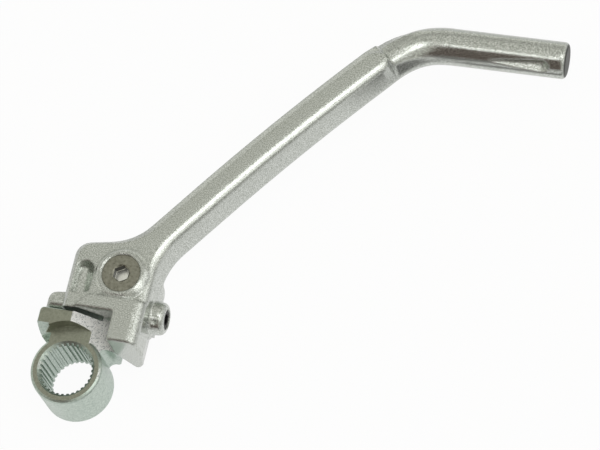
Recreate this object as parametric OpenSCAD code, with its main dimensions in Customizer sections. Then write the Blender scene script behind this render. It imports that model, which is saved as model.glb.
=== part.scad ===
// Folding kick start lever: splined steel knuckle with a post, light alloy arm swinging on the post.
// Millimetres. X runs along the stowed foot peg, Y along the folding axis, Z along the splined bore.
// Origin: axis of the splined bore, on the engine side face of the hub. Z points away from the engine.
// Drawn stowed, so with the foot peg folded flat.

/* [Hub] */
// outside diameter of the hub barrel
hub_d = 28.7; // [27:0.1:31]
// length of the hub barrel along the shaft
hub_len = 22.6; // [20:0.1:25]
// number of spline teeth
spline_teeth = 32; // [28:1:36]
// diameter over the tips of the teeth
spline_tip_d = 20; // [19:0.1:20.4]
// diameter at the roots of the teeth
spline_root_d = 21.6; // [21.2:0.1:22]
// angle taken by the land on top of one tooth, degrees
tooth_land = 4.6; // [4.2:0.1:5]
// lead-in chamfer at both mouths of the bore
mouth_chamfer = 0.7; // [0.3:0.1:1.2]
// diameter of the faced ring on the outer end of the hub
ring_d = 26.4; // [25:0.1:27]

/* [Knuckle] */
// height of the machined lug face above the engine side
lug_z = 28.4; // [26:0.1:29.2]
// level of the top of the knuckle along the folding axis
knuckle_top = 22; // [21:0.1:22.6]
// level of the underside of the web beside the hub
web_bottom = 11.6; // [10.5:0.1:12.5]
// diameter of the faced flat that is cut into the lug round the hub
spotface_d = 35.4; // [33:0.1:37]
// level at which the lug face ends below, on the side away from the peg
lug_low = 15.7; // [14:0.1:17]
// draft of the lug's lower side, degrees
lug_draft = 20; // [5:1:26]
// how far the back of the web stands off the engine side
web_back = 1.6; // [0:0.1:4]

/* [Folding joint] */
// distance from the hub axis to the post axis along the peg
post_x = 15; // [14:0.1:16]
// height of the post axis above the engine side
post_z = 15.8; // [15:0.1:16.5]
// diameter of the post
post_d = 15; // [14:0.1:16]
// level of the free end of the post
post_end = 47; // [45:0.1:48]
// running clearance of the arm on the post, on the radius
post_clear = 0.05; // [0.02:0.01:0.1]
// how far the arm folds out, degrees
fold_angle = 53; // [45:1:58]
// distance of the stop faces of the arm from the folding axis
stop_offset = 0.5; // [0.3:0.1:1]
// gap left at the stops
stop_gap = 0.1; // [0.05:0.01:0.2]
// gap between the top of the knuckle and the arm
knuckle_gap = 1.1; // [0.6:0.1:1.5]
// width of the groove in the post
groove_w = 6.4; // [6:0.1:7]
// diameter at the bottom of the groove
groove_d = 10.4; // [9:0.1:11.5]

/* [Arm head] */
// level of the left edge of the head
head_left = -6.2; // [-7:0.1:-5]
// level of the right edge of the head
head_right = 27.5; // [27:0.1:28.5]
// level of the top left corner of the head
head_top = 50.5; // [49:0.1:52]
// front face of head and arm above the engine side
front_z = 30; // [29:0.1:31]
// raised pad and screw boss above the engine side
pad_z = 31.6; // [30.8:0.1:32.4]
// level of the upper edge of the raised pad
pad_top = 29.5; // [28.5:0.1:30.5]
// left end of the raised pad at the notch
hood_left = -1.9; // [-3:0.1:-1]
// level of the lower end of the skirt
skirt_bottom = 11.2; // [10:0.1:13]
// level of the back tip of the skirt along the peg
skirt_tip = 22.2; // [20.5:0.1:24]
// width of the wing on the left of the head
wing_w = 7.9; // [6:0.1:9]
// level of the top of the wing
wing_top = 30.5; // [29:0.1:32]
// front face of the wing above the engine side
wing_z = 25.4; // [23:0.1:26.5]
// depth of the forged pocket beside the screw
pocket_depth = 3.4; // [2:0.1:4.5]

/* [Arm] */
// lean of the arm away from the folding axis at the head, degrees
lean_head = 36.5; // [35:0.5:38]
// lean of the arm at the elbow, degrees
lean_elbow = 41.5; // [39:0.5:43]
// width of the front of the arm
arm_w = 11.8; // [10.5:0.1:13]
// back face of the arm above the engine side
arm_back = 12.6; // [11:0.1:15]
// length of the arm from the root of the head to the elbow
arm_len = 90; // [70:1:100]
// width of the bevel on the outer edge of the front
bevel_w = 3.2; // [2:0.1:4]
// depth of that bevel
bevel_h = 2.1; // [1:0.1:3]
// radius of the ridge between front and inner side
ridge_r = 3; // [1.6:0.1:3.4]
// crown of the front towards the ridge
crown = 0.5; // [0.2:0.1:0.8]
// swell of the inner side below the ridge
side_swell = 2; // [0:0.1:3]

/* [Foot peg] */
// distance of the peg axis from the hub axis, the throw of the lever
peg_y = 158.8; // [150:0.1:166]
// start of the straight part of the peg, from the hub axis along the peg
elbow_x = 122.4; // [118:0.1:127]
// diameter of the foot peg
peg_d = 14.8; // [13:0.1:15.6]
// length of the straight part of the peg
peg_len = 47.2; // [38:0.1:60]
// height of the peg axis above the engine side
peg_z = 20; // [19:0.1:21]
// bend radius of the elbow on the centre line
elbow_r = 34; // [30:1:38]
// radius of the rim at the end of the peg
peg_rim = 1.8; // [1:0.1:3]
// length of the scooped groove in the peg
scoop_len = 24; // [15:1:30]
// distance of the groove from the end of the peg
scoop_end = 6.4; // [5:0.1:12]

/* [Retaining screw] */
// level of the screw along the folding axis
screw_y = 39.3; // [38.5:0.1:40]
// diameter of the countersunk head
screw_head_d = 15.4; // [14.6:0.1:16]
// how far the head sits below the boss
screw_sunk = 0.5; // [0.3:0.1:0.8]
// thread diameter
screw_thread_d = 8; // [7.6:0.1:8.4]
// diameter of the dog point that runs in the groove
screw_dog_d = 6; // [5.6:0.1:6.2]
// hexagon socket across flats
screw_hex = 6; // [5:0.5:6]
// depth of the hexagon socket
screw_hex_depth = 4; // [3:0.1:4.6]

/* [Detent] */
// level of the detent along the folding axis
detent_y = 28.3; // [27.8:0.1:29]
// ball diameter
ball_d = 4.5; // [4.2:0.1:4.8]
// depth of the two seats for the ball in the post
ball_seat = 0.8; // [0.5:0.1:1]
// spring wire diameter
wire_d = 0.6; // [0.5:0.05:0.65]
// turns of the spring
spring_turns = 3; // [2:0.5:3.5]
// diameter of the threaded plug
plug_d = 8; // [7.6:0.1:8.4]
// length of the threaded plug
plug_len = 3; // [2.6:0.1:3.4]
// hexagon socket of the plug across flats
plug_hex = 4; // [3:0.5:4]
// end of the detent boss, from the hub axis
boss_end = 33.2; // [32.6:0.1:34]
// diameter of the detent boss
boss_d = 13.2; // [12:0.1:14]

/* [Hidden] */
$fn = 96;
far = 60;
peg_end = elbow_x + peg_len;
lug_end_x = 0.4 - sqrt(pow(spotface_d / 2, 2) - pow(lug_low - 1, 2));
thread_clear = 0.03;
hub_r = hub_d / 2;
head_floor = knuckle_top + knuckle_gap;
stop_x = post_x + stop_offset;
screw_top = pad_z - screw_sunk;
cone_h = (screw_head_d - screw_thread_d) / 2;
ride_clear = 0.03;
ball_x = post_x + post_d / 2 + ride_clear + ball_d / 2;
coil_r = ball_d / 2 - wire_d / 2 - 0.15;
spring_x0 = ball_x + sqrt(pow(ball_d / 2 + wire_d / 2, 2) - coil_r * coil_r) - wire_d / 2 + ride_clear;
plug_x1 = boss_end - 0.3;
plug_x0 = plug_x1 - plug_len;
peg_r = peg_d / 2;

// shared shapes

function unit(v) = v / norm(v);
function mix(a, b, t) = a * (1 - t) + b * t;
function ease(t) = t * t * (3 - 2 * t);
function cross2(a, b) = a[0] * b[1] - a[1] * b[0];
function turn_left(v) = [-v[1], v[0]];

// arc that rounds the corner b of the path a, b, c with radius r, as n + 1 points
function round_corner(a, b, c, r, n) =
  let (u = unit(a - b), w = unit(c - b), half = acos(u * w) / 2)
  let (m = b + unit(u + w) * r / sin(half), s = b + u * r / tan(half) - m)
  let (sweep = (180 - 2 * half) * sign(cross2(b - a, c - b)))
  [for (i = [0:n]) m + [s[0] * cos(sweep * i / n) - s[1] * sin(sweep * i / n),
                        s[0] * sin(sweep * i / n) + s[1] * cos(sweep * i / n)]];

// closed counterclockwise outline from corners [x, y, radius], moved inwards by d
function outline(c, d = 0, n = 4) =
  let (k = len(c), p = [for (q = c) [q[0], q[1]]])
  let (e = [for (i = [0:k - 1]) turn_left(unit(p[(i + 1) % k] - p[i]))])
  let (m = [for (i = [0:k - 1]) let (a = e[(i + k - 1) % k], b = e[i]) p[i] + (a + b) / (1 + a * b) * d])
  [for (i = [0:k - 1])
    let (a = m[(i + k - 1) % k], b = m[i], f = m[(i + 1) % k], side = sign(cross2(b - a, f - b)))
    each round_corner(a, b, f, max(c[i][2] - side * d, 0.25), n)];

// solid through a list of closed rings of equal length, each counterclockwise seen from the last one
module skin(rings) {
  n = len(rings[0]);
  last = len(rings) - 1;
  polyhedron(
    points = [for (ring = rings) each ring],
    faces = concat(
      [[for (i = [0:n - 1]) i]],
      [[for (i = [n - 1:-1:0]) last * n + i]],
      [for (k = [0:last - 1]) for (i = [0:n - 1]) [k * n + i, (k + 1) * n + i, (k + 1) * n + (i + 1) % n]],
      [for (k = [0:last - 1]) for (i = [0:n - 1]) [k * n + i, (k + 1) * n + (i + 1) % n, k * n + (i + 1) % n]]
    )
  );
}

// plate from one outline: layers are [height, inset]
module rounded_plate(corners, layers, n = 4) {
  skin([for (l = layers) [for (p = outline(corners, l[1], n)) [p[0], p[1], l[0]]]]);
}

// the same standing along the folding axis: corners are given as [x, z, radius]
module rounded_column(corners, layers, n = 4) {
  mirrored = [for (i = [len(corners) - 1:-1:0]) [corners[i][0], -corners[i][1], corners[i][2]]];
  rotate([-90, 0, 0])
    skin([for (l = layers) [for (p = outline(mirrored, l[1], n)) [p[0], p[1], l[0]]]]);
}

module along_x(x, y, z) {
  translate([x, y, z]) rotate([0, 90, 0]) children();
}

module along_y(x, y, z) {
  translate([x, y, z]) rotate([-90, 0, 0]) children();
}

// knuckle: splined hub, web with the lug, post

module spline_space() {
  pitch = 360 / spline_teeth;
  gap = pitch - tooth_land;
  foot = gap * 0.55;
  r0 = spline_tip_d / 2;
  r1 = spline_root_d / 2;
  // a flank runs through the tip circle, so it starts inside it and ends outside the root circle
  tip = r0 * [cos(gap / 2), sin(gap / 2)];
  root = [r1 + 0.3, r1 * sin(foot / 2)];
  start = tip - (root - tip) * 0.4;
  translate([0, 0, -1]) cylinder(d = spline_tip_d, h = hub_len + 2);
  intersection() {
    translate([0, 0, -1]) cylinder(d = spline_root_d, h = hub_len + 2);
    for (i = [0:spline_teeth - 1])
      rotate([0, 0, i * pitch])
        translate([0, 0, -1])
          linear_extrude(hub_len + 2)
            polygon([[start[0], -start[1]], [root[0], -root[1]], root, start]);
  }
  for (s = [0, 1])
    translate([0, 0, s * hub_len])
      mirror([0, 0, s])
        translate([0, 0, -0.01])
          cylinder(d1 = spline_root_d + 2 * mouth_chamfer, d2 = spline_tip_d - 0.4, h = mouth_chamfer + 1);
}

module hub_barrel() {
  edge = hub_r - ring_d / 2;
  rotate_extrude()
    polygon([
      [0, 0],
      [hub_r - 0.6, 0],
      [hub_r, 0.6],
      [hub_r, hub_len - edge * 1.1],
      [hub_r - edge * 0.3, hub_len - edge * 0.4],
      [ring_d / 2, hub_len],
      [0, hub_len]
    ]);
}

// web from the hub to the post with the lug standing on it
module knuckle_block() {
  difference() {
    rounded_plate([
      [-hub_r, lug_low - 2.9, 4],
      [-6, 6, 1],
      [stop_x - stop_gap, 2, 1],
      [stop_x - stop_gap, knuckle_top, 0.6],
      [-hub_r, knuckle_top, 1.6]
    ], [[web_back, 1.2], [web_back + 1.2, 0], [lug_z - 0.3, 0], [lug_z, 0.3]]);
    // free space below the web
    translate([0, 0, -1])
      linear_extrude(60)
        polygon(outline([
          [post_x - 6, -4, 0.5],
          [post_x + 20, -4, 0.5],
          [post_x + 20, web_bottom, 0.5],
          [post_x - 4.2, web_bottom, 3]
        ], 0, 8));
    // stop face for the arm folded out
    translate([post_x, 0, post_z])
      rotate([0, -fold_angle, 0])
        translate([stop_offset - stop_gap, -far, -far])
          cube(2 * far);
    // faced flat round the hub
    translate([0, 0, hub_len]) cylinder(d = spotface_d, h = 20);
    // drafted lower side of the lug, left of the faced flat
    translate([lug_end_x - far, lug_low, lug_z])
      rotate([-lug_draft, 0, 0])
        translate([0, -far, -9])
          cube(far);
  }
}

// post above the skirt, with the groove for the screw and the two seats for the ball
module post() {
  r = post_d / 2;
  y0 = head_floor + 0.15;
  along_y(post_x, y0, post_z)
    difference() {
      rotate_extrude()
        polygon([
          [0, 0],
          [r, 0],
          [r, screw_y - groove_w / 2 - y0],
          [groove_d / 2, screw_y - groove_w / 2 - y0],
          [groove_d / 2, screw_y + groove_w / 2 - y0],
          [r, screw_y + groove_w / 2 - y0],
          [r, post_end - 1 - y0],
          [r - 1, post_end - y0],
          [0, post_end - y0]
        ]);
      for (a = [0, fold_angle])
        rotate([0, 0, -a])
          translate([r - ball_seat + ball_d / 2, 0, detent_y - y0])
            sphere(d = ball_d + 0.1, $fn = 48);
    }
}

// foot of the post: only the half that the skirt never sweeps
module post_foot() {
  intersection() {
    along_y(post_x, knuckle_top - 4, post_z) cylinder(d = post_d, h = knuckle_gap + 4.6);
    translate([stop_x - stop_gap - far, 0, 0]) cube(far);
    translate([post_x, 0, post_z])
      rotate([0, -fold_angle, 0])
        translate([stop_offset - stop_gap - far, -far, -far])
          cube([far, 2 * far, 2 * far]);
  }
}

module knuckle() {
  color([0.66, 0.69, 0.67])
    difference() {
      union() {
        hub_barrel();
        knuckle_block();
        post();
        post_foot();
      }
      spline_space();
    }
}

// arm: head, forged shank, elbow and foot peg

// centre line of the arm: an easy bow, the elbow, then the peg
bow = lean_elbow - lean_head;
bow_r = arm_len / (bow * PI / 180);
dir0 = 90 - lean_head;
dir1 = 90 - lean_elbow;
elbow_len = elbow_r * dir1 * PI / 180;
// the faceted elbow stands just outside the peg's cylinder, then dips under it
elbow_skin = (peg_r + 0.03) / cos(180 / 35);
// the elbow ends on the peg axis, so the bow is laid out backwards from there
elbow_c = [elbow_x, peg_y - elbow_r];
bow_end = elbow_c + elbow_r * [-sin(dir1), cos(dir1)];
bow_c = bow_end - bow_r * [-sin(dir1), cos(dir1)];

// point and direction at the distance s before (negative) or after the start of the elbow
function centre(s) =
  s < 0 ? let (a = dir1 - s / bow_r * 180 / PI) [bow_c + bow_r * [-sin(a), cos(a)], a] :
  s < elbow_len ? let (a = dir1 - s / elbow_r * 180 / PI) [elbow_c + elbow_r * [-sin(a), cos(a)], a] :
  [[elbow_x + s - elbow_len, peg_y], 0];

function beside(s, d) = let (c = centre(s)) c[0] + d * [sin(c[1]), -cos(c[1])];

// cross section of the forging between a left and a right point: w wide, t up to the front
function forged_section(w, top, back, ridge, swell, nose, bevel) =
  let (k = 1 - nose / 3.8)
  outline([
    [w + swell, back + 4.5, 3],
    [w - nose, top - crown * k, mix(0.5, ridge, k)],
    [mix(bevel + nose, w - nose, 0.45), top + 0.1, 0.6 + 13 * k * k],
    [bevel + nose, top - 0.1, 0.8],
    [0, top - bevel_h, 1.2],
    [0.4, back, 3.2],
    [w + swell - 2, back, 3.2]
  ], 0, 4);

ring_n = 35;
function round_section(w, r) =
  [for (i = [0:ring_n - 1]) let (a = 360 / ring_n * i - 24) [w / 2 + r * cos(a), peg_z + r * sin(a)]];

// ring in space: left point l, right point r, mixed from the forged and the round section by t
function ring_at(l, r, top, back, ridge, swell, nose, t, bevel = bevel_w, round_r = elbow_skin) =
  let (w = norm(r - l), u = (r - l) / w)
  let (a = forged_section(w, top, back, ridge, swell, nose, bevel), b = round_section(w, round_r))
  [for (i = [0:len(a) - 1]) let (q = mix(a[i], b[i], t)) [l[0] + u[0] * q[0], l[1] + u[1] * q[0], q[1]]];

// left edge of the head: up the side, round the corner, along the top and into the arm
arm_root = -arm_len;
half = arm_w / 2;
left_join = beside(arm_root, -half);
left_dir = [cos(dir0), sin(dir0)];
top_slope = 10.5;
left_knee = left_join - left_dir * ((left_join[1] - head_top - (left_join[0] - head_left) * tan(top_slope))
  / (left_dir[1] - left_dir[0] * tan(top_slope)));
left_rail = concat(
  [for (i = [0:3]) [head_left, mix(head_floor, 43.5, i / 3)]],
  round_corner([head_left, head_floor], [head_left, head_top], left_knee, 6, 5),
  round_corner([head_left, head_top], left_knee, left_join, 23, 7)
);
right_join = beside(arm_root, half);
right_knee = right_join - left_dir * ((right_join[0] - head_right) / left_dir[0]);
right_rail = concat(
  [for (i = [0:3]) [head_right, mix(head_floor, 34, i / 3)]],
  [for (i = [1:6]) [head_right, mix(34, 40, i / 6)]],
  round_corner([head_right, 40], right_knee, right_join, 28, 7)
);
head_n = len(left_rail);

module forging() {
  head = [for (i = [0:head_n - 1])
    ring_at(left_rail[i], right_rail[i], front_z, arm_back,
            mix(3.4, ridge_r, ease(max(0, (i - 5) / (head_n - 6)))), mix(0.3, side_swell, i / (head_n - 1)), 0, 0,
            mix(1.8, bevel_w, i / (head_n - 1)))];
  steps = 9;
  shank = [for (i = [0:steps])
    let (s = mix(arm_root, -4, i / steps))
    ring_at(beside(s, -half), beside(s, half), front_z, arm_back, ridge_r, side_swell, 0, 0)];
  // the raised front ends in a rounded nose at the elbow
  nose = [for (q = [[-2.4, 0.35], [-1, 1], [0.2, 2.2], [0.9, 3.4]])
    let (s = q[0], t = 0.1 * (s + 4) / 5)
    ring_at(beside(s, -half), beside(s, half), front_z, arm_back, ridge_r, side_swell, q[1], t)];
  elbow = [for (i = [0:9])
    let (s = mix(2.1, elbow_len, i / 9), w = mix(half + 0.4, peg_r, ease(i / 9)))
    ring_at(beside(s, -w), beside(s, w), mix(peg_z + peg_r + 0.7, peg_z + peg_r, i / 9), arm_back, 1.6,
            mix(side_swell, 0, i / 9), mix(1, 0, i / 9), mix(0.35, 1, ease(min(1, i / 7))))];
  end_s = elbow_len + 4;
  dip = ring_at(beside(end_s, -peg_r), beside(end_s, peg_r), peg_z + peg_r, arm_back, 1.6, 0, 0, 1, bevel_w, peg_r - 0.2);
  all = concat(head, shank, nose, elbow, [dip]);
  skin([for (i = [len(all) - 1:-1:0]) all[i]]);
}

module foot_peg() {
  x0 = elbow_x + 0.2;
  along_x(0, peg_y, peg_z)
    rotate_extrude()
      polygon(concat(
        [[0, x0], [peg_r, x0]],
        [for (i = [0:6]) [peg_r - peg_rim * (1 - cos(15 * i)), peg_end - peg_rim * (1 - sin(15 * i))]],
        [[0, peg_end]]
      ));
}

// groove as left by a pointed cutter that leaves the peg towards the elbow
module peg_scoop() {
  away = 53;
  depth = 3.1;
  x1 = peg_end - scoop_end - 3;
  translate([0, peg_y, peg_z])
    rotate([away, 0, 0])
      hull()
        for (q = [[x1, peg_r - depth], [x1 - scoop_len, peg_r + 0.4]])
          translate([q[0], 0, q[1]])
            cylinder(r1 = 0.4, r2 = 6, h = 6, $fn = 32);
}

// deep part of the head that holds the post
module head_back() {
  rounded_plate([
    [head_right - 0.2, head_floor, 0.6],
    [head_right - 0.2, 46, 9],
    [16, 52.5, 9],
    [head_left + 0.3, 49.5, 6],
    [head_left + 0.3, head_floor, 0.6]
  ], [[0.3, 5.2], [1.2, 3.2], [3, 1.4], [5.4, 0.4], [8, 0], [front_z - 8, 0]]);
}

// skirt that hangs down beside the web and carries both stop faces
module skirt() {
  rounded_column([
    [stop_x, post_z - 0.8, 4],
    [skirt_tip, 0.2, 1.8],
    [skirt_tip + 2.8, 5, 4],
    [head_right, 17, 8],
    [head_right, pad_z, 4],
    [stop_x, pad_z, 0.9]
  ], [[skirt_bottom, 1], [skirt_bottom + 0.3, 0.35], [skirt_bottom + 1, 0], [pad_top - 1, 0], [pad_top - 0.3, 0.3],
      [pad_top, 1]]);
}

// raised pad over the notch, with its slanting corner beside the pocket
module hood() {
  rounded_plate([
    [hood_left, head_floor, 0.6],
    [head_right - 3.5, head_floor, 0.6],
    [head_right - 3.5, pad_top, 1],
    [hood_left + 6.1, pad_top, 1.8]
  ], [[14, 0], [pad_z - 1.1, 0], [pad_z - 0.35, 0.35], [pad_z, 1.1]]);
}

module wing() {
  x0 = head_left - wing_w;
  rounded_plate([
    [head_left + 6, head_floor, 0.6],
    [head_left + 6, wing_top + 1.6, 1],
    [x0, wing_top, 3.6],
    [x0, head_floor, 0.6]
  ], [[2.5, 2.4], [3.5, 1], [5.5, 0], [wing_z - 2.6, 0], [wing_z - 0.8, 0.8], [wing_z, 2.4]]);
}

module screw_boss() {
  r0 = screw_head_d / 2;
  translate([post_x, screw_y, front_z - 1])
    rotate_extrude()
      polygon([
        [0, 0],
        [r0 + 3.5, 0],
        [r0 + 3.2, 1],
        [r0 + 2.2, pad_z - front_z + 0.3],
        [r0 + 1.4, pad_z - front_z + 0.85],
        [r0 + 0.8, pad_z - front_z + 1],
        [0, pad_z - front_z + 1]
      ]);
}

module detent_boss() {
  r = boss_d / 2;
  along_x(0, detent_y, post_z)
    rotate_extrude()
      polygon(concat(
        [[0, head_right - 4], [r + 2.2, head_right - 4], [r + 2.2, head_right - 0.4], [r + 0.9, head_right + 0.1],
         [r + 0.2, head_right + 0.9]],
        [for (i = [0:5]) [r - 2.4 * (1 - cos(18 * i)), boss_end - 2.4 * (1 - sin(18 * i))]],
        [[0, boss_end]]
      ));
}

// forged pocket: steep on the outer side, sloping on the screw side, closed by the pad below
module pocket() {
  x0 = head_left + 2.5;
  x1 = post_x - screw_head_d / 2 - 3.5;
  high = screw_y + 3.9;
  low = pad_top - 1.1;
  lift = (pad_z + 1 - front_z) / pocket_depth;
  floor_c = [[x1 - 3.1, low + 1.6, 1], [x1 - 3.6, high - 1.9, 1.6], [x0 + 0.1, high - 1.9, 1.6], [x0 - 0.3, low + 1, 1]];
  rim_c = [[x1 + 0.1, low + 1.8, 1.6], [x1, high, 3.4], [x0 + 0.4, high, 3], [x0 + 0.1, low, 1.6]];
  above = [for (i = [0:3]) rim_c[i] + (rim_c[i] - floor_c[i]) * lift];
  skin([
    [for (p = outline(floor_c)) [p[0], p[1], front_z - pocket_depth]],
    [for (p = outline(above)) [p[0], p[1], pad_z + 1]]
  ]);
}

module kick_arm() {
  color([0.72, 0.72, 0.69])
    difference() {
      union() {
        forging();
        foot_peg();
        head_back();
        skirt();
        hood();
        wing();
        screw_boss();
        detent_boss();
      }
      peg_scoop();
      pocket();
      // bore for the post
      along_y(post_x, head_floor, post_z) cylinder(r = post_d / 2 + post_clear, h = post_end - head_floor + 0.3);
      // countersunk seat and thread of the retaining screw
      translate([post_x, screw_y, post_z]) cylinder(d = screw_thread_d + 2 * thread_clear, h = screw_top - post_z);
      translate([post_x, screw_y, screw_top - cone_h - 0.4 - thread_clear])
        cylinder(d1 = screw_thread_d, d2 = screw_head_d, h = cone_h);
      translate([post_x, screw_y, screw_top - 0.45]) cylinder(d = screw_head_d + 2 * thread_clear, h = 0.55);
      translate([post_x, screw_y, screw_top + 0.1 - 0.01]) cylinder(d1 = screw_head_d, d2 = screw_head_d + 1.4, h = 0.6);
      // cross hole of the detent: ball and spring, then the thread
      along_x(post_x, detent_y, post_z) cylinder(d = ball_d + 0.2, h = plug_x0 - post_x);
      along_x(plug_x0 - 0.4, detent_y, post_z) cylinder(d = plug_d + 2 * thread_clear, h = 10);
      // centre punch mark that locks the plug
      translate([boss_end - 3.4, detent_y - 3.6, post_z + 5.7]) sphere(d = 2, $fn = 24);
    }
}

// screw and detent

module hex_socket(flats, depth) {
  translate([0, 0, -depth]) cylinder(d = flats / cos(30), h = depth + 1, $fn = 6);
  translate([0, 0, -flats * 0.09]) cylinder(d1 = flats * 0.98, d2 = flats * 1.22, h = flats * 0.1);
}

module retaining_screw() {
  tip = post_z + groove_d / 2 + 0.4;
  color([0.45, 0.45, 0.42])
    translate([post_x, screw_y, 0])
      difference() {
        union() {
          translate([0, 0, screw_top - 0.4]) cylinder(d = screw_head_d, h = 0.25);
          translate([0, 0, screw_top - 0.15]) cylinder(d1 = screw_head_d, d2 = screw_head_d - 0.3, h = 0.15);
          translate([0, 0, screw_top - 0.4 - cone_h])
            cylinder(d1 = screw_thread_d, d2 = screw_head_d, h = cone_h);
          translate([0, 0, post_z + post_d / 2 + 0.4])
            cylinder(d = screw_thread_d, h = screw_top - 0.4 - cone_h - post_z - post_d / 2 - 0.3);
          translate([0, 0, tip]) cylinder(d = screw_dog_d, h = 6);
        }
        translate([0, 0, screw_top]) rotate([0, 0, 30]) hex_socket(screw_hex, screw_hex_depth);
      }
}

module detent_ball() {
  color([0.6, 0.6, 0.6]) translate([ball_x, detent_y, post_z]) sphere(d = ball_d, $fn = 48);
}

module detent_spring() {
  run = plug_x0 - ride_clear - spring_x0 - wire_d;
  steps = ceil(spring_turns * 18);
  along_x(0, detent_y, post_z)
    color([0.5, 0.5, 0.5])
      skin([for (k = [0:steps])
        let (a = 360 * spring_turns * k / steps, h = spring_x0 + wire_d / 2 + run * k / steps)
        [for (j = [0:7]) let (q = wire_d / 2 * [cos(45 * j), sin(45 * j)])
          [(coil_r + q[0]) * cos(a), (coil_r + q[0]) * sin(a), h - q[1]]]]);
}

module detent_plug() {
  color([0.12, 0.12, 0.12])
    along_x(plug_x0, detent_y, post_z)
      difference() {
        union() {
          cylinder(d = plug_d, h = plug_len - 0.5);
          translate([0, 0, plug_len - 0.5]) cylinder(d1 = plug_d, d2 = plug_d - 1, h = 0.5);
        }
        translate([0, 0, plug_len]) hex_socket(plug_hex, 2);
      }
}

knuckle();
kick_arm();
retaining_screw();
detent_ball();
detent_spring();
detent_plug();
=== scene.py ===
# Folding kick start lever on a white table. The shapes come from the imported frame; the finishes,
# the light and the camera are made here. All lengths are metres.
import bpy
import math
from mathutils import Matrix, Vector


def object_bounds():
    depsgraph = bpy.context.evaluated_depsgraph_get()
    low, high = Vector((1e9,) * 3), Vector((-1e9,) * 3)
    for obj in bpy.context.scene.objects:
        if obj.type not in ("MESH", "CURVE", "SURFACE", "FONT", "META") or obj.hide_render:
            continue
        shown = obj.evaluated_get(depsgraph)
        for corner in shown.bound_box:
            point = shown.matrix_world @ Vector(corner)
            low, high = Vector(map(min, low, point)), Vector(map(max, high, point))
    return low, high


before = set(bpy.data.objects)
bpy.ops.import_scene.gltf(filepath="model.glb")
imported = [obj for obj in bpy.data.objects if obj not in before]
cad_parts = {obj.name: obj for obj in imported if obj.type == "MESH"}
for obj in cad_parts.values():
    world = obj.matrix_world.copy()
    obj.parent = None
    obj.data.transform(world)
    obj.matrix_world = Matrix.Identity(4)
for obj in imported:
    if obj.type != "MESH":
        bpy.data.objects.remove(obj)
cad_box = [list(corner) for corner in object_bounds()]


# Knuckle: a steel forging with hub, web, lug and post in one, broached for the spline, then zinc
# plated. Lug face, hub ring and the flat round the hub are milled before plating, and the stop face
# is sheared. The arm's head slides over the post.

def linear(hex_colour):
    parts = [int(hex_colour[i:i + 2], 16) / 255 for i in (1, 3, 5)]
    return [p / 12.92 if p <= 0.04045 else ((p + 0.055) / 1.055) ** 2.4 for p in parts] + [1.0]


def add(tree, kind, sockets=(), **settings):
    node = tree.nodes.new(kind)
    for name, value in settings.items():
        setattr(node, name, value)
    for name, value in dict(sockets).items():
        if isinstance(value, bpy.types.NodeSocket):
            tree.links.new(value, node.inputs[name])
        else:
            node.inputs[name].default_value = value
    return node


def finish_of(name):
    material = bpy.data.materials.new(name)
    material.use_nodes = True
    material.node_tree.nodes.clear()
    return material, material.node_tree


def dress(node, material):
    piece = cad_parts[node]
    piece.data.materials.clear()
    piece.data.materials.append(material)


def smooth_forging(node, degrees):
    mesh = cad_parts[node].data
    mesh.shade_smooth()
    mesh.set_sharp_from_angle(angle=math.radians(degrees))


# the flat round the hub ends in a round wall at this distance from the bore axis
WALL_RADIUS = 0.0177
# the stop face slopes by the angle that the arm folds
STOP_SLOPE = math.radians(53)
STOP_NORMAL = (math.cos(STOP_SLOPE), 0, math.sin(STOP_SLOPE))
# pits of the forging scale are about 0.3 mm; drawn at 0.9 mm to show
SCALE_PIT = 0.0009
# clouds in the plating, about 6 mm
PLATING_CLOUD = 0.006
# torn grains of the sheared face are 0.3 mm; drawn at 0.7 mm, two pixels of the photograph
TORN_GRAIN = 0.0007
# cutter marks run round the bore, 0.3 mm apart; drawn 0.5 mm apart to show
CUTTER_STEP = 0.0005
ZINC_LIGHT = linear("#D3DED5")
ZINC_SHADE = linear("#AAB8AF")
MILLED_LIGHT = linear("#A7A99A")
MILLED_SHADE = linear("#8B8E80")
# the sheared face's near-white is partly painted light; its dark flecks are its grain
SHEARED_PAINTED_LIGHT = linear("#FEFEFE")
SHEARED_SHADE = linear("#A3A9AB")

# steel, die forged and zinc plated: pale greenish grey with a soft scale texture, browner and
# flatter where it was milled, and coarse and broken on the sheared stop face, whose near-white is
# partly painted light
zinc, tree = finish_of("steel_forged_zinc_plated")
coords = add(tree, "ShaderNodeTexCoord")
place = coords.outputs["Object"]
facing = coords.outputs["Normal"]
heading = add(tree, "ShaderNodeSeparateXYZ", {"Vector": facing})
spot = add(tree, "ShaderNodeSeparateXYZ", {"Vector": place})

# milled faces look along the bore and lie above the plain top of the knuckle, at 22 mm
upward = add(tree, "ShaderNodeMapRange", {
    "Value": heading.outputs["Z"], "From Min": 0.9, "From Max": 0.97})
above = add(tree, "ShaderNodeMapRange", {
    "Value": spot.outputs["Z"], "From Min": 0.0222, "From Max": 0.0224})
faced = add(tree, "ShaderNodeMath", {
    0: upward.outputs["Result"], 1: above.outputs["Result"]}, operation="MULTIPLY")
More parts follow.
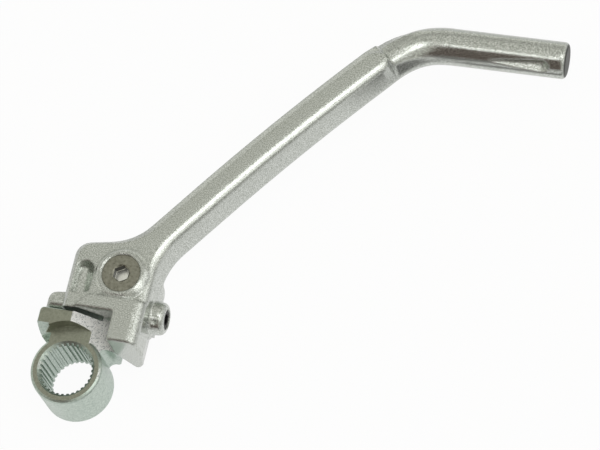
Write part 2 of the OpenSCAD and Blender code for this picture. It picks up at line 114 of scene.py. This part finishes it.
# the cutter also leaves the round wall
flat_place = add(tree, "ShaderNodeCombineXYZ", {"X": spot.outputs["X"], "Y": spot.outputs["Y"]})
away = add(tree, "ShaderNodeVectorMath", {0: flat_place.outputs["Vector"]}, operation="LENGTH")
near_wall = add(tree, "ShaderNodeMapRange", {
    "Value": away.outputs["Value"],
    "From Min": WALL_RADIUS + 0.00025, "From Max": WALL_RADIUS + 0.00015})
off_ring = add(tree, "ShaderNodeMapRange", {
    "Value": away.outputs["Value"],
    "From Min": WALL_RADIUS - 0.00035, "From Max": WALL_RADIUS - 0.00025})
on_wall = add(tree, "ShaderNodeMath", {
    0: near_wall.outputs["Result"], 1: off_ring.outputs["Result"]}, operation="MULTIPLY")
wall = add(tree, "ShaderNodeMath", {
    0: on_wall.outputs["Value"], 1: above.outputs["Result"]}, operation="MULTIPLY")
milled = add(tree, "ShaderNodeMath", {
    0: faced.outputs["Value"], 1: wall.outputs["Value"]}, operation="MAXIMUM")
# the sheared face is known by its slope
along_stop = add(tree, "ShaderNodeVectorMath", {0: facing, 1: STOP_NORMAL}, operation="DOT_PRODUCT")
sheared = add(tree, "ShaderNodeMapRange", {
    "Value": along_stop.outputs["Value"], "From Min": 0.985, "From Max": 0.995})

scale = add(tree, "ShaderNodeTexNoise", {
    "Vector": place, "Scale": 1 / SCALE_PIT, "Detail": 4.0, "Roughness": 0.6})
cloud = add(tree, "ShaderNodeTexNoise", {
    "Vector": place, "Scale": 1 / PLATING_CLOUD, "Detail": 3.0})
torn = add(tree, "ShaderNodeTexNoise", {
    "Vector": place, "Scale": 1 / TORN_GRAIN, "Detail": 3.0, "Roughness": 0.7})
turns = add(tree, "ShaderNodeMath", {
    0: away.outputs["Value"], 1: 2 * math.pi / CUTTER_STEP}, operation="MULTIPLY")
marks = add(tree, "ShaderNodeMath", {0: turns.outputs["Value"]}, operation="SINE")

shade = add(tree, "ShaderNodeMapRange", {
    "Value": scale.outputs["Fac"], "From Min": 0.3, "From Max": 0.7})
plated = add(tree, "ShaderNodeMixRGB", {
    "Fac": shade.outputs["Result"], "Color1": ZINC_SHADE, "Color2": ZINC_LIGHT})
dull = add(tree, "ShaderNodeMixRGB", {
    "Fac": shade.outputs["Result"], "Color1": MILLED_SHADE, "Color2": MILLED_LIGHT})
crumbs = add(tree, "ShaderNodeMapRange", {
    "Value": torn.outputs["Fac"], "From Min": 0.37, "From Max": 0.47})
grain_and_painted_light = add(tree, "ShaderNodeMixRGB", {
    "Fac": crumbs.outputs["Result"], "Color1": SHEARED_SHADE, "Color2": SHEARED_PAINTED_LIGHT})
unsheared = add(tree, "ShaderNodeMixRGB", {
    "Fac": milled.outputs["Value"],
    "Color1": plated.outputs["Color"], "Color2": dull.outputs["Color"]})
colour = add(tree, "ShaderNodeMixRGB", {
    "Fac": sheared.outputs["Result"],
    "Color1": unsheared.outputs["Color"], "Color2": grain_and_painted_light.outputs["Color"]})

# torn grains throw the light all ways, so the sheared face is pale from every side; its near-white
# colour is partly painted light
metal = add(tree, "ShaderNodeMapRange", {
    "Value": sheared.outputs["Result"], "To Min": 1.0, "To Max": 0.0})
plain_gloss = add(tree, "ShaderNodeMapRange", {
    "Value": cloud.outputs["Fac"],
    "From Min": 0.3, "From Max": 0.7, "To Min": 0.28, "To Max": 0.38})
rougher = add(tree, "ShaderNodeMath", {0: sheared.outputs["Result"], 1: 0.05}, operation="MULTIPLY")
gloss = add(tree, "ShaderNodeMath", {
    0: plain_gloss.outputs["Result"], 1: rougher.outputs["Value"]}, operation="ADD")
lines = add(tree, "ShaderNodeMath", {
    0: marks.outputs["Value"], 1: milled.outputs["Value"]}, operation="MULTIPLY")
scored = add(tree, "ShaderNodeBump", {
    "Height": lines.outputs["Value"], "Strength": 0.12, "Distance": 0.00002})
grains = add(tree, "ShaderNodeMath", {
    0: torn.outputs["Fac"], 1: sheared.outputs["Result"]}, operation="MULTIPLY")
ragged = add(tree, "ShaderNodeBump", {
    "Height": grains.outputs["Value"], "Strength": 1.0, "Distance": 0.0004,
    "Normal": scored.outputs["Normal"]})
pitted = add(tree, "ShaderNodeBump", {
    "Height": scale.outputs["Fac"], "Strength": 0.25, "Distance": 0.00015,
    "Normal": ragged.outputs["Normal"]})
zinc_shader = add(tree, "ShaderNodeBsdfPrincipled", {
    "Base Color": colour.outputs["Color"], "Metallic": metal.outputs["Result"],
    "Roughness": gloss.outputs["Value"], "Normal": pitted.outputs["Normal"]})
add(tree, "ShaderNodeOutputMaterial", {"Surface": zinc_shader.outputs["BSDF"]})
dress("knuckle", zinc)
smooth_forging("knuckle", 24)


# Kick arm: one closed die forging of light alloy from the head to the foot peg, so it has no seams.
# It is deburred, blasted with glass beads and clear anodised, and turns on the post of the knuckle.

# beads leave dimples of about 0.2 mm; drawn at 0.4 mm, one pixel of the photograph
BEAD_DIMPLE = 0.0004
# the die leaves a soft unevenness about 7 mm long
DIE_WAVE = 0.007
# the die's corners and the blasting leave every edge soft
EDGE_RADIUS = 0.0014
# the end face of the peg lies at X 169.6 mm, and its painted shade starts this far along
PEG_END_FROM = 0.1680
PEG_END_TO = 0.1690
ALLOY_LIGHT = linear("#E3E6E2")
ALLOY_SHADE = linear("#A9ADA6")
# painted shade for the end face of the peg
PEG_END_PAINTED_SHADE = linear("#3E403C")

# aluminium forging alloy, bead blasted and clear anodised: silvery grey with a fine grain that
# glitters where a bright window meets a dark one, and no sharp mirror anywhere; the peg's end face
# is painted dark as shade
alloy, tree = finish_of("aluminium_bead_blasted_anodised")
coords = add(tree, "ShaderNodeTexCoord")
place = coords.outputs["Object"]
heading = add(tree, "ShaderNodeSeparateXYZ", {"Vector": coords.outputs["Normal"]})
spot = add(tree, "ShaderNodeSeparateXYZ", {"Vector": place})
dimples = add(tree, "ShaderNodeTexNoise", {
    "Vector": place, "Scale": 1 / BEAD_DIMPLE, "Detail": 1.0, "Roughness": 0.5})
waves = add(tree, "ShaderNodeTexNoise", {
    "Vector": place, "Scale": 1 / DIE_WAVE, "Detail": 3.0, "Roughness": 0.5})

# the peg's end face is painted dark as shade, and made duller
endwise = add(tree, "ShaderNodeMapRange", {
    "Value": heading.outputs["X"], "From Min": 0.6, "From Max": 0.9})
at_end = add(tree, "ShaderNodeMapRange", {
    "Value": spot.outputs["X"], "From Min": PEG_END_FROM, "From Max": PEG_END_TO})
peg_end = add(tree, "ShaderNodeMath", {
    0: endwise.outputs["Result"], 1: at_end.outputs["Result"]}, operation="MULTIPLY")

grain = add(tree, "ShaderNodeMapRange", {
    "Value": dimples.outputs["Fac"], "From Min": 0.34, "From Max": 0.66})
blasted = add(tree, "ShaderNodeMixRGB", {
    "Fac": grain.outputs["Result"], "Color1": ALLOY_SHADE, "Color2": ALLOY_LIGHT})
colour = add(tree, "ShaderNodeMixRGB", {
    "Fac": peg_end.outputs["Value"], "Color1": blasted.outputs["Color"], "Color2": PEG_END_PAINTED_SHADE})
blasted_gloss = add(tree, "ShaderNodeMapRange", {
    "Value": waves.outputs["Fac"],
    "From Min": 0.3, "From Max": 0.7, "To Min": 0.15, "To Max": 0.2})
duller = add(tree, "ShaderNodeMath", {0: peg_end.outputs["Value"], 1: 0.25}, operation="MULTIPLY")
gloss = add(tree, "ShaderNodeMath", {
    0: blasted_gloss.outputs["Result"], 1: duller.outputs["Value"]}, operation="ADD")
soft_edge = add(tree, "ShaderNodeBevel", {"Radius": EDGE_RADIUS}, samples=4)
uneven = add(tree, "ShaderNodeBump", {
    "Height": waves.outputs["Fac"], "Strength": 0.2, "Distance": 0.0002,
    "Normal": soft_edge.outputs["Normal"]})
dimpled = add(tree, "ShaderNodeBump", {
    "Height": dimples.outputs["Fac"], "Strength": 0.32, "Distance": 0.00007,
    "Normal": uneven.outputs["Normal"]})
alloy_shader = add(tree, "ShaderNodeBsdfPrincipled", {
    "Base Color": colour.outputs["Color"], "Metallic": 1.0,
    "Roughness": gloss.outputs["Value"], "Normal": dimpled.outputs["Normal"]})
add(tree, "ShaderNodeOutputMaterial", {"Surface": alloy_shader.outputs["BSDF"]})
dress("kick_arm", alloy)
smooth_forging("kick_arm", 28)


# Retaining screw: turned from steel bar, with a pressed hexagon socket, left plain and oiled.
# Its countersunk head fills the seat in the raised boss, and its dog point runs in the groove
# of the post, so the arm can't come off.

SCREW_AXIS = (0.015, 0.0393, 0.0)
# the corners of the 6 mm socket lie 3.46 mm from the screw's axis
SOCKET_RADIUS = 0.0035
# the tool's feed is about 0.1 mm; its rings are drawn 0.5 mm apart to show
RING_STEP = 0.0005
# stains of dried oil, about 1.2 mm
OIL_STAIN = 0.0012
SCREW_LIGHT = linear("#A4A396")
SCREW_SHADE = linear("#7E7D71")
# painted shade for the socket's walls and painted light for its floor
SOCKET_PAINTED_SHADE = linear("#30302D")
SOCKET_PAINTED_LIGHT = linear("#F4F4EE")

# alloy steel, turned and left plain: brownish grey, with fine rings round the socket, painted shade
# on the socket's walls and a painted highlight on its floor
screw, tree = finish_of("steel_turned_plain")
place = add(tree, "ShaderNodeTexCoord").outputs["Object"]
from_axis = add(tree, "ShaderNodeVectorMath", {0: place, 1: SCREW_AXIS}, operation="SUBTRACT")
spot = add(tree, "ShaderNodeSeparateXYZ", {"Vector": from_axis.outputs["Vector"]})
across = add(tree, "ShaderNodeCombineXYZ", {"X": spot.outputs["X"], "Y": spot.outputs["Y"]})
away = add(tree, "ShaderNodeVectorMath", {0: across.outputs["Vector"]}, operation="LENGTH")
turns = add(tree, "ShaderNodeMath", {
    0: away.outputs["Value"], 1: 2 * math.pi / RING_STEP}, operation="MULTIPLY")
rings = add(tree, "ShaderNodeMath", {0: turns.outputs["Value"]}, operation="SINE")
stain = add(tree, "ShaderNodeTexNoise", {
    "Vector": place, "Scale": 1 / OIL_STAIN, "Detail": 4.0, "Roughness": 0.6})
shade = add(tree, "ShaderNodeMapRange", {
    "Value": stain.outputs["Fac"], "From Min": 0.3, "From Max": 0.7})
turned = add(tree, "ShaderNodeMixRGB", {
    "Fac": shade.outputs["Result"], "Color1": SCREW_SHADE, "Color2": SCREW_LIGHT})

# the socket's walls are painted dark as shade, from 0.5 mm below the face at Z 31.1 mm,
# and its floor at 27.1 mm is painted pale as light
inside = add(tree, "ShaderNodeMapRange", {
    "Value": away.outputs["Value"], "From Min": SOCKET_RADIUS + 0.0001, "From Max": SOCKET_RADIUS})
below = add(tree, "ShaderNodeMapRange", {
    "Value": spot.outputs["Z"], "From Min": 0.0306, "From Max": 0.0304})
socket = add(tree, "ShaderNodeMath", {
    0: inside.outputs["Result"], 1: below.outputs["Result"]}, operation="MULTIPLY")
bottom = add(tree, "ShaderNodeMapRange", {
    "Value": spot.outputs["Z"], "From Min": 0.0274, "From Max": 0.0272})
socket_floor_lit = add(tree, "ShaderNodeMath", {
    0: socket.outputs["Value"], 1: bottom.outputs["Result"]}, operation="MULTIPLY")
socket_shaded = add(tree, "ShaderNodeMixRGB", {
    "Fac": socket.outputs["Value"], "Color1": turned.outputs["Color"], "Color2": SOCKET_PAINTED_SHADE})
colour = add(tree, "ShaderNodeMixRGB", {
    "Fac": socket_floor_lit.outputs["Value"], "Color1": socket_shaded.outputs["Color"], "Color2": SOCKET_PAINTED_LIGHT})

gloss = add(tree, "ShaderNodeMapRange", {
    "Value": stain.outputs["Fac"],
    "From Min": 0.3, "From Max": 0.7, "To Min": 0.26, "To Max": 0.34})
ringed = add(tree, "ShaderNodeBump", {
    "Height": rings.outputs["Value"], "Strength": 0.15, "Distance": 0.00002})
screw_shader = add(tree, "ShaderNodeBsdfPrincipled", {
    "Base Color": colour.outputs["Color"], "Metallic": 1.0,
    "Roughness": gloss.outputs["Result"], "Normal": ringed.outputs["Normal"]})
add(tree, "ShaderNodeOutputMaterial", {"Surface": screw_shader.outputs["BSDF"]})
dress("retaining_screw", screw)


# Detent ball: a hardened and ground steel ball in the cross hole of the head.
# The spring presses it on the post; it is hidden in the assembled lever.

# grinding marks are finer than 0.1 mm; drawn at 0.5 mm to show
GRINDING_MARK = 0.0005
BALL_BRIGHT = linear("#C9C9C6")

# bearing steel, ground: bright and almost a mirror
ball_steel, tree = finish_of("steel_ball_ground")
place = add(tree, "ShaderNodeTexCoord").outputs["Object"]
ground = add(tree, "ShaderNodeTexNoise", {"Vector": place, "Scale": 1 / GRINDING_MARK})
gloss = add(tree, "ShaderNodeMapRange", {
    "Value": ground.outputs["Fac"], "To Min": 0.1, "To Max": 0.2})
ball_shader = add(tree, "ShaderNodeBsdfPrincipled", {
    "Base Color": BALL_BRIGHT, "Metallic": 1.0, "Roughness": gloss.outputs["Result"]})
add(tree, "ShaderNodeOutputMaterial", {"Surface": ball_shader.outputs["BSDF"]})
dress("detent_ball", ball_steel)


# Detent spring: a short coil of drawn steel wire between the ball and the grub screw.
# It is hidden in the assembled lever.

# draw marks are finer than 0.1 mm; drawn at 0.4 mm to show
DRAW_MARK = 0.0004
WIRE_GREY = linear("#9C9C98")

# spring steel wire, drawn: plain grey with a soft sheen
wire, tree = finish_of("steel_spring_wire_drawn")
place = add(tree, "ShaderNodeTexCoord").outputs["Object"]
drawn = add(tree, "ShaderNodeTexNoise", {"Vector": place, "Scale": 1 / DRAW_MARK})
gloss = add(tree, "ShaderNodeMapRange", {
    "Value": drawn.outputs["Fac"], "To Min": 0.25, "To Max": 0.4})
wire_shader = add(tree, "ShaderNodeBsdfPrincipled", {
    "Base Color": WIRE_GREY, "Metallic": 1.0, "Roughness": gloss.outputs["Result"]})
add(tree, "ShaderNodeOutputMaterial", {"Surface": wire_shader.outputs["BSDF"]})
dress("detent_spring", wire)


# Detent plug: a steel grub screw with a hexagon socket, blackened, in the boss on the head's side.
# It closes the cross hole and is the only piece of the detent that shows.

# the blackening bath leaves a mottling of about 0.6 mm
OXIDE_MOTTLE = 0.0006
OXIDE_LIGHT = linear("#2C2C2B")
OXIDE_SHADE = linear("#1A1A1A")

# steel, black oxide: near black with a dull, oily sheen
black, tree = finish_of("steel_black_oxide")
place = add(tree, "ShaderNodeTexCoord").outputs["Object"]
mottle = add(tree, "ShaderNodeTexNoise", {
    "Vector": place, "Scale": 1 / OXIDE_MOTTLE, "Detail": 2.0})
shade = add(tree, "ShaderNodeMapRange", {
    "Value": mottle.outputs["Fac"], "From Min": 0.3, "From Max": 0.7})
colour = add(tree, "ShaderNodeMixRGB", {
    "Fac": shade.outputs["Result"], "Color1": OXIDE_SHADE, "Color2": OXIDE_LIGHT})
black_shader = add(tree, "ShaderNodeBsdfPrincipled", {
    "Base Color": colour.outputs["Color"], "Metallic": 0.6, "Roughness": 0.45})
add(tree, "ShaderNodeOutputMaterial", {"Surface": black_shader.outputs["BSDF"]})
dress("detent_plug", black)


# Table: a plain board, painted matt white, that the lever lies on.
# The camera sees it white with a trace of the lever's shadow, and the metal mirrors it.

TABLE_SIZE = 4.0
LEVER_MIDDLE = (0.08, 0.08, 0.02)
BOARD_WHITE = linear("#F4F4F3")
WHITE = (1, 1, 1, 1)
bpy.ops.mesh.primitive_plane_add(
    size=TABLE_SIZE, location=(LEVER_MIDDLE[0], LEVER_MIDDLE[1], cad_box[0][2] - 0.0001))
floor = bpy.context.object
floor.name = "floor"

# board, painted matt white: an even white without a sheen
table, tree = finish_of("board_painted_matt_white")
board = add(tree, "ShaderNodeBsdfDiffuse", {"Color": BOARD_WHITE})
ray = add(tree, "ShaderNodeLightPath")
place = add(tree, "ShaderNodeNewGeometry").outputs["Position"]
spot = add(tree, "ShaderNodeSeparateXYZ", {"Vector": place})
# in the metal the table is white close by and a third darker from 9 cm on
close = add(tree, "ShaderNodeMapRange", {
    "Value": ray.outputs["Ray Length"],
    "From Min": 0.025, "From Max": 0.09, "To Min": 1.0, "To Max": 0.66})
# a strip in front of the foot peg is dark; its left edge leans the way the peg's mirror rays go
STRIP_ACROSS = (1.0, -0.24, 0.0)
across = add(tree, "ShaderNodeVectorMath", {0: place, 1: STRIP_ACROSS}, operation="DOT_PRODUCT")
strip_left = add(tree, "ShaderNodeMapRange", {
    "Value": across.outputs["Value"], "From Min": 0.078, "From Max": 0.094})
strip_front = add(tree, "ShaderNodeMapRange", {
    "Value": spot.outputs["Y"], "From Min": 0.108, "From Max": 0.118})
strip = add(tree, "ShaderNodeMath", {
    0: strip_left.outputs["Result"], 1: strip_front.outputs["Result"]}, operation="MULTIPLY")
# so is a band that runs on past the hub, where the metal sees it from more than 6 cm away
band_left = add(tree, "ShaderNodeMapRange", {
    "Value": spot.outputs["X"], "From Min": 0.05, "From Max": 0.065})
band_right = add(tree, "ShaderNodeMapRange", {
    "Value": spot.outputs["X"], "From Min": 0.13, "From Max": 0.115})
band = add(tree, "ShaderNodeMath", {
    0: band_left.outputs["Result"], 1: band_right.outputs["Result"]}, operation="MULTIPLY")
far = add(tree, "ShaderNodeMapRange", {
    "Value": ray.outputs["Ray Length"], "From Min": 0.055, "From Max": 0.08})
far_band = add(tree, "ShaderNodeMath", {
    0: band.outputs["Value"], 1: far.outputs["Result"]}, operation="MULTIPLY")
either = add(tree, "ShaderNodeMath", {
    0: strip.outputs["Value"], 1: far_band.outputs["Value"]}, operation="MAXIMUM")
# both end 15 mm short of the peg, at Y 136 mm, and keep an eighth of their light
dark_to = add(tree, "ShaderNodeMapRange", {
    "Value": spot.outputs["Y"], "From Min": 0.136, "From Max": 0.127, "To Max": 0.88})
unlit = add(tree, "ShaderNodeMath", {
    0: either.outputs["Value"], 1: dark_to.outputs["Result"]}, operation="MULTIPLY")
lit_part = add(tree, "ShaderNodeMath", {0: 1.0, 1: unlit.outputs["Value"]}, operation="SUBTRACT")
mirrored = add(tree, "ShaderNodeMath", {
    0: close.outputs["Result"], 1: lit_part.outputs["Value"]}, operation="MULTIPLY")
strength = add(tree, "ShaderNodeMath", {
    0: ray.outputs["Is Camera Ray"], 1: mirrored.outputs["Value"]}, operation="MAXIMUM")
lit = add(tree, "ShaderNodeEmission", {"Color": WHITE, "Strength": strength.outputs["Value"]})
# the rest is the board as the lamp lights it, which holds the shadow: a third of the mirror image
# where that isn't dark, and a twentieth of the picture
WHITE_IN_MIRROR = 0.65
WHITE_IN_PICTURE = 0.95
mirror = add(tree, "ShaderNodeMath", {
    0: ray.outputs["Is Glossy Ray"], 1: ray.outputs["Is Transmission Ray"]}, operation="MAXIMUM")
share = add(tree, "ShaderNodeMath", {
    0: unlit.outputs["Value"], 1: WHITE_IN_MIRROR}, operation="MAXIMUM")
in_mirror = add(tree, "ShaderNodeMath", {
    0: mirror.outputs["Value"], 1: share.outputs["Value"]}, operation="MULTIPLY")
in_picture = add(tree, "ShaderNodeMath", {
    0: ray.outputs["Is Camera Ray"], 1: WHITE_IN_PICTURE}, operation="MULTIPLY")
seen = add(tree, "ShaderNodeMath", {
    0: in_picture.outputs["Value"], 1: in_mirror.outputs["Value"]}, operation="MAXIMUM")
both = add(tree, "ShaderNodeMixShader", {
    "Fac": seen.outputs["Value"], 1: board.outputs["BSDF"], 2: lit.outputs["Emission"]})
add(tree, "ShaderNodeOutputMaterial", {"Surface": both.outputs["Shader"]})
floor.data.materials.append(table)


# Light: a tent of white cloth round the table, open to a dark room at the front, with two windows
# on the right and a narrow one overhead. One soft lamp above throws the lever's shadow.

lamp_data = bpy.data.lights.new("lamp_top", "AREA")
lamp_data.shape = "SQUARE"
lamp_data.size = 0.45
lamp_data.energy = 1.5
lamp_top = bpy.data.objects.new("lamp_top", lamp_data)
lamp_top.location = (0.35, 0.15, 1.25)
lamp_aim = Vector(LEVER_MIDDLE) - lamp_top.location
lamp_top.rotation_euler = lamp_aim.to_track_quat("-Z", "Y").to_euler()
bpy.context.scene.collection.objects.link(lamp_top)

TENT_CLOTH = linear("#F6F6ED")
ROOM_BEYOND = linear("#B47A68")
world = bpy.data.worlds.new("tent")
bpy.context.scene.world = world
world.use_nodes = True
tree = world.node_tree
tree.nodes.clear()
ray = add(tree, "ShaderNodeLightPath")
toward = add(tree, "ShaderNodeTexCoord").outputs["Generated"]


# a round opening of the tent, full within the inner angle from its middle and gone at the outer one
def opening(direction, inner, outer, strength=1.0):
    aim = Vector(direction).normalized()
    near = add(tree, "ShaderNodeVectorMath", {0: toward, 1: tuple(aim)}, operation="DOT_PRODUCT")
    share = add(tree, "ShaderNodeMapRange", {
        "Value": near.outputs["Value"], "To Max": strength,
        "From Min": math.cos(math.radians(outer)), "From Max": math.cos(math.radians(inner))},
        interpolation_type="SMOOTHSTEP")
    return share.outputs["Result"]


# the cloth is brightest at the table, darkest in a seam 25 to 30 degrees up, and lighter overhead
height = add(tree, "ShaderNodeSeparateXYZ", {"Vector": toward})
rise = add(tree, "ShaderNodeMapRange", {
    "Value": height.outputs["Z"],
    "From Min": 0.0, "From Max": 0.42, "To Min": 0.02, "To Max": 0.48},
    interpolation_type="SMOOTHSTEP")
roof = add(tree, "ShaderNodeMapRange", {
    "Value": height.outputs["Z"],
    "From Min": 0.5, "From Max": 0.75, "To Min": 0.0, "To Max": 0.17},
    interpolation_type="SMOOTHSTEP")
seam = add(tree, "ShaderNodeMath", {
    0: rise.outputs["Result"], 1: roof.outputs["Result"]}, operation="SUBTRACT")
# the way in is open high and low, below the eye, and a little warm light comes through it
ROOM_DARKNESS = 0.88
ROOM_GLOW = 0.1
high_gap = opening((-0.2, -0.62, 0.76), inner=8, outer=26)
low_gap = opening((-0.2, -0.95, 0.2), inner=24, outer=50)
front = add(tree, "ShaderNodeMath", {0: high_gap, 1: low_gap}, operation="MAXIMUM")
gap = add(tree, "ShaderNodeMath", {
    0: front.outputs["Value"], 1: ROOM_DARKNESS}, operation="MULTIPLY")
room = add(tree, "ShaderNodeMath", {0: front.outputs["Value"], 1: ROOM_GLOW}, operation="MULTIPLY")
warm = add(tree, "ShaderNodeBackground", {
    "Color": ROOM_BEYOND, "Strength": room.outputs["Value"]})
# a small gap at the table's right front corner draws the dark line beside the ridge
corner = opening((0.84, -0.51, 0.0), inner=7, outer=19, strength=0.68)
gaps = add(tree, "ShaderNodeMath", {0: gap.outputs["Value"], 1: corner}, operation="MAXIMUM")
dark = add(tree, "ShaderNodeMath", {
    0: seam.outputs["Value"], 1: gaps.outputs["Value"]}, operation="MAXIMUM")
cloth = add(tree, "ShaderNodeMath", {0: 1.0, 1: dark.outputs["Value"]}, operation="SUBTRACT")
tent = add(tree, "ShaderNodeBackground", {
    "Color": TENT_CLOTH, "Strength": cloth.outputs["Value"]})
# the windows on the right make the band along the ridge, and the one overhead the peg's highlight
right_window = opening((0.73, -0.15, 0.665), inner=10, outer=25, strength=0.95)
back_window = opening((0.79, 0.37, 0.5), inner=8, outer=20, strength=0.7)
top_window = opening((-0.17, -0.31, 0.935), inner=2, outer=6.5, strength=2.1)
on_right = add(tree, "ShaderNodeMath", {0: right_window, 1: back_window}, operation="MAXIMUM")
windows = add(tree, "ShaderNodeMath", {
    0: on_right.outputs["Value"], 1: top_window}, operation="MAXIMUM")
glow = add(tree, "ShaderNodeBackground", {"Color": WHITE, "Strength": windows.outputs["Value"]})
cloth_and_room = add(tree, "ShaderNodeAddShader", {
    0: tent.outputs["Background"], 1: warm.outputs["Background"]})
lights = add(tree, "ShaderNodeAddShader", {
    0: cloth_and_room.outputs["Shader"], 1: glow.outputs["Background"]})
# the camera itself sees plain white
backdrop = add(tree, "ShaderNodeBackground", {"Color": WHITE, "Strength": 1.0})
both = add(tree, "ShaderNodeMixShader", {
    "Fac": ray.outputs["Is Camera Ray"],
    1: lights.outputs["Shader"], 2: backdrop.outputs["Background"]})
add(tree, "ShaderNodeOutputWorld", {"Surface": both.outputs["Shader"]})


# Camera: a long lens above and in front of the hub, turned so that the arm rises to the right.
# Its place and axes were fitted to measured edges and ellipses of the lever.

CAMERA_PLACE = (0.33207, -0.31814, 1.01713)
CAMERA_RIGHT = Vector((0.9638, 0.2116, -0.1623))
CAMERA_UP = Vector((-0.1338, 0.9102, 0.3920))
CAMERA_BACK = Vector((0.2307, -0.3561, 0.9056))
camera_data = bpy.data.cameras.new("camera")
camera_data.sensor_fit = "HORIZONTAL"
camera_data.sensor_width = 36.0
camera_data.lens = 168.0
camera_data.clip_start = 0.05
camera_data.clip_end = 20.0
camera = bpy.data.objects.new("camera", camera_data)
bpy.context.scene.collection.objects.link(camera)
turn = Matrix((CAMERA_RIGHT, CAMERA_UP, CAMERA_BACK)).transposed()
camera.matrix_world = Matrix.Translation(CAMERA_PLACE) @ turn.to_4x4()
bpy.context.scene.camera = camera
bpy.context.scene.view_settings.view_transform = "Standard"

bpy.context.view_layer.update()
